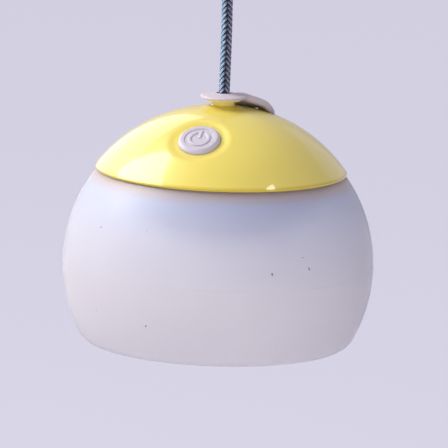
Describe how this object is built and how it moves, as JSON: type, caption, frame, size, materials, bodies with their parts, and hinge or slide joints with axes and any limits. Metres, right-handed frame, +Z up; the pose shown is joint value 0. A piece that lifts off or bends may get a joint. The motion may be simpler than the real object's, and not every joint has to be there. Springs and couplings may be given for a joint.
{
  "type": "hanging lantern",
  "caption": "Small rechargeable hanging lantern: frosted squashed globe under a glossy dome cap, round push button, hinged rubber port cover and a braided hanging cord with a loop.",
  "frame": {"origin": "bearing point of the hanging loop, where it rests on a hook, on the lantern's axis", "axes": "+Z up along the lantern's axis, -Y towards the power button, +X to the right as seen from the button"},
  "size_m": [0.107, 0.107, 0.1752],
  "materials": {
    "frosted_silicone": "frosted translucent",
    "yellow_gloss": "glossy",
    "housing_plastic": "satin",
    "clear_lens": "clear",
    "reflector_white": "glossy",
    "circuit_board": "solder mask",
    "led_phosphor": "smooth",
    "cell_wrap": "shrink wrap",
    "tray_plastic": "moulded",
    "nickel_strip": "brushed",
    "component_black": "moulded",
    "grey_button": "satin",
    "screw_steel": "plated",
    "lead_red": "smooth",
    "lead_black": "smooth",
    "grey_rubber": "matte",
    "braided_cord": "braided"
  },
  "bodies": {
    "lantern": {"shade": "frosted_silicone", "top_cap": "yellow_gloss", "inner_housing": "housing_plastic", "led_lens": "clear_lens", "led_reflector": "reflector_white", "led_board": "circuit_board", "led_emitters": "led_phosphor", "battery_cell": "cell_wrap", "battery_tray": "tray_plastic", "battery_tab_positive": "nickel_strip", "battery_tab_negative": "nickel_strip", "main_board": "circuit_board", "board_components": "component_black", "usb_socket_shell": "nickel_strip", "usb_socket_tongue": "component_black", "tact_switch_body": "component_black", "switch_board": "circuit_board", "housing_screws": "screw_steel", "main_board_screws": "screw_steel", "led_board_screws": "screw_steel", "tray_screws": "screw_steel", "switch_board_screws": "screw_steel", "battery_lead_red": "lead_red", "battery_lead_black": "lead_black", "led_lead_red": "lead_red", "led_lead_black": "lead_black", "switch_leads": "lead_black", "port_cover_ring": "grey_rubber", "cord_washer": "screw_steel", "cord_stopper_knot": "braided_cord", "loop_knot": "braided_cord", "cord_main": "braided_cord", "cord_loop": "braided_cord", "cord_tail": "braided_cord"},
    "power_button": {"power_button": "grey_button", "switch_plunger": "component_black"},
    "port_cover_flap": {"port_cover_strap": "grey_rubber"}
  },
  "joints": [
    {"name": "power_button_press", "type": "slide", "parent": "lantern", "child": "power_button", "axis": [0, 0.503, -0.8643], "range_m": [0, 0.0005], "stiffness_N_per_m": 5000},
    {"name": "port_cover_open", "type": "hinge", "parent": "lantern", "child": "port_cover_flap", "pos_m": [0.00636, 0.00636, -0.0858], "axis": [0.7071, -0.7071, 0], "range_deg": [0, 80]}
  ]
}
